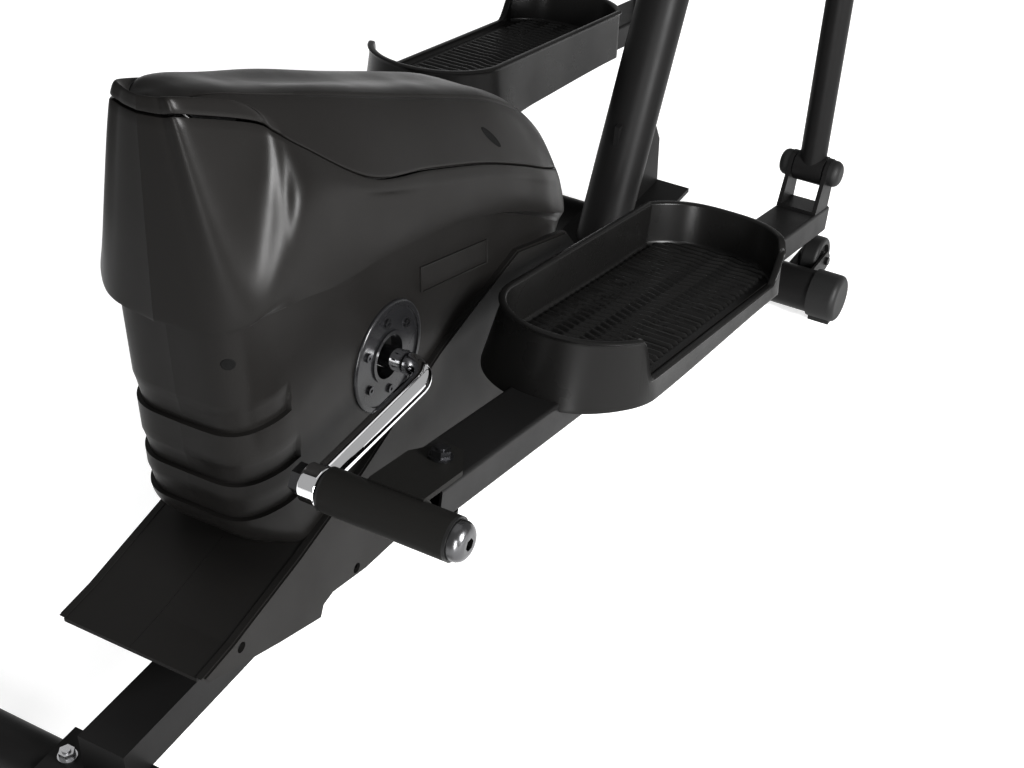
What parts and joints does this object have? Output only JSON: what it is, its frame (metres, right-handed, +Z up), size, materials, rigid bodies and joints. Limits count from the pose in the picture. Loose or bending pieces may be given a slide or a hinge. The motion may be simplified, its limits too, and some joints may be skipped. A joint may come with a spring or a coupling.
{
  "type": "elliptical trainer",
  "caption": "Rear-drive elliptical trainer: a hollow drive housing with a one-piece crank, two foot bars with shoe trays, swinging hand levers on a mast, and a console.",
  "frame": {"origin": "centre of the footprint, on the floor", "axes": "+X to the user's right, +Y forward (the way the user faces), +Z up"},
  "size_m": [0.538, 1.5142, 1.5359],
  "materials": {
    "frame_paint": "satin black powder coat",
    "housing_plastic": "fine-grained satin black moulding",
    "skirt_plastic": "fine-grained matt black moulding",
    "plate_plastic": "satin black moulding with ribs",
    "crank_chrome": "bright chrome plate",
    "disc_steel": "semi-gloss black pressed steel",
    "bolt_steel": "dark gunmetal plating",
    "black_bolt": "black oxide",
    "bright_bolt": "zinc plate",
    "bush_nylon": "plain black nylon",
    "end_rubber": "matt black rubber",
    "grip_foam": "dense black foam",
    "sensor_chrome": "satin chrome",
    "axle_steel": "ground steel",
    "flywheel_iron": "turned iron",
    "pulley_plastic": "moulded black nylon",
    "belt_rubber": "ribbed belt rubber",
    "magnet_metal": "nickel plate",
    "console_plastic": "fine-grained dark moulding",
    "screen_lens": "glossy dark window",
    "key_plastic": "soft grey keys"
  },
  "bodies": {
    "frame": {"main_frame": "frame_paint", "front_stabiliser": "frame_paint", "rear_stabiliser": "frame_paint", "front_end_caps": "end_rubber", "rear_end_caps": "end_rubber", "frame_bolts": "bright_bolt", "mast": "frame_paint", "pivot_axle": "axle_steel", "axle_caps": "end_rubber", "handlebar": "frame_paint", "handlebar_clamp": "housing_plastic", "handlebar_grips": "grip_foam", "pulse_sensors": "sensor_chrome", "console_body": "console_plastic", "console_lens": "screen_lens", "housing_right": "housing_plastic", "housing_left": "housing_plastic", "housing_top_cover": "housing_plastic", "skirt_right": "skirt_plastic", "skirt_left": "skirt_plastic", "housing_screws": "black_bolt", "crank_covers": "disc_steel", "cover_screws": "black_bolt", "crank_bearings": "axle_steel", "flywheel_bearings": "axle_steel", "drive_belt": "belt_rubber", "tension_motor": "pulley_plastic"},
    "crank": {"crank": "crank_chrome", "drive_pulley": "pulley_plastic", "pedal_bolts": "bolt_steel"},
    "flywheel": {"flywheel": "flywheel_iron", "flywheel_axle": "axle_steel"},
    "idler": {"idler_wheel": "pulley_plastic"},
    "magnet_arm": {"magnet_bracket": "bright_bolt", "magnets": "magnet_metal"},
    "key_down": {"button_down": "key_plastic"},
    "key_mode": {"button_mode": "key_plastic"},
    "key_up": {"button_up": "key_plastic"},
    "wheel_right": {"transport_wheel_right": "end_rubber"},
    "wheel_left": {"transport_wheel_left": "end_rubber"},
    "bar_right": {"foot_bar_right": "frame_paint", "pedal_hinge_right": "frame_paint", "hinge_bushes_right": "bush_nylon", "bar_bolts_right": "black_bolt", "foot_plate_right": "plate_plastic", "pivot_fork_right": "frame_paint", "pivot_caps_right": "end_rubber"},
    "arm_right": {"swing_arm_right": "frame_paint", "handle_grip_right": "grip_foam", "arm_pivot_right": "axle_steel"},
    "bar_left": {"foot_bar_left": "frame_paint", "pedal_hinge_left": "frame_paint", "hinge_bushes_left": "bush_nylon", "bar_bolts_left": "black_bolt", "foot_plate_left": "plate_plastic", "pivot_fork_left": "frame_paint", "pivot_caps_left": "end_rubber"},
    "arm_left": {"swing_arm_left": "frame_paint", "handle_grip_left": "grip_foam", "arm_pivot_left": "axle_steel"}
  },
  "joints": [
    {"name": "crank_turn", "type": "hinge", "parent": "frame", "child": "crank", "pos_m": [0, -0.37714, 0.31], "axis": [-1, 0, 0], "range_deg": [0, 75]},
    {"name": "bar_right_turn", "type": "hinge", "parent": "crank", "child": "bar_right", "pos_m": [0.189, -0.55514, 0.31], "axis": [-1, 0, 0], "range_deg": [-63.8, 0]},
    {"name": "bar_left_turn", "type": "hinge", "parent": "crank", "child": "bar_left", "pos_m": [-0.189, -0.19914, 0.31], "axis": [-1, 0, 0], "range_deg": [-83.5, 0]},
    {"name": "arm_right_swing", "type": "hinge", "parent": "frame", "child": "arm_right", "pos_m": [0.189, 0.48286, 0.93], "axis": [1, 0, 0], "range_deg": [0, 6.2]},
    {"name": "arm_left_swing", "type": "hinge", "parent": "frame", "child": "arm_left", "pos_m": [-0.189, 0.48286, 0.93], "axis": [1, 0, 0], "range_deg": [-9.5, 0]},
    {"name": "flywheel_spin", "type": "hinge", "parent": "frame", "child": "flywheel", "pos_m": [0, -0.45214, 0.47], "axis": [-1, 0, 0], "range_deg": [0, 542]},
    {"name": "idler_spin", "type": "hinge", "parent": "frame", "child": "idler", "pos_m": [-0.051, -0.3102, 0.17275], "axis": [-1, 0, 0], "range_deg": [-488, 0]},
    {"name": "magnet_adjust", "type": "hinge", "parent": "frame", "child": "magnet_arm", "pos_m": [0, -0.54014, 0.401], "axis": [1, 0, 0], "range_deg": [0, 6]},
    {"name": "button_down_press", "type": "slide", "parent": "frame", "child": "key_down", "axis": [0, 0.7659, -0.6429], "range_m": [0, 0.0015], "stiffness_N_per_m": 300},
    {"name": "button_mode_press", "type": "slide", "parent": "frame", "child": "key_mode", "axis": [0, 0.7659, -0.6429], "range_m": [0, 0.0015], "stiffness_N_per_m": 300},
    {"name": "button_up_press", "type": "slide", "parent": "frame", "child": "key_up", "axis": [0, 0.7659, -0.6429], "range_m": [0, 0.0015], "stiffness_N_per_m": 300},
    {"name": "wheel_right_spin", "type": "hinge", "parent": "frame", "child": "wheel_right", "pos_m": [0.209, 0.36986, 0.036], "axis": [1, 0, 0], "continuous": true},
    {"name": "wheel_left_spin", "type": "hinge", "parent": "frame", "child": "wheel_left", "pos_m": [-0.209, 0.36986, 0.036], "axis": [1, 0, 0], "continuous": true}
  ],
  "couplings": [
    {"joint": "bar_right_turn", "follows": "crank_turn", "ratio": -0.85027},
    {"joint": "bar_left_turn", "follows": "crank_turn", "ratio": -1.1133},
    {"joint": "arm_right_swing", "follows": "crank_turn", "ratio": 0.082244},
    {"joint": "arm_left_swing", "follows": "crank_turn", "ratio": -0.12587},
    {"joint": "flywheel_spin", "follows": "crank_turn", "ratio": 7.2222},
    {"joint": "idler_spin", "follows": "crank_turn", "ratio": -6.5}
  ]
}
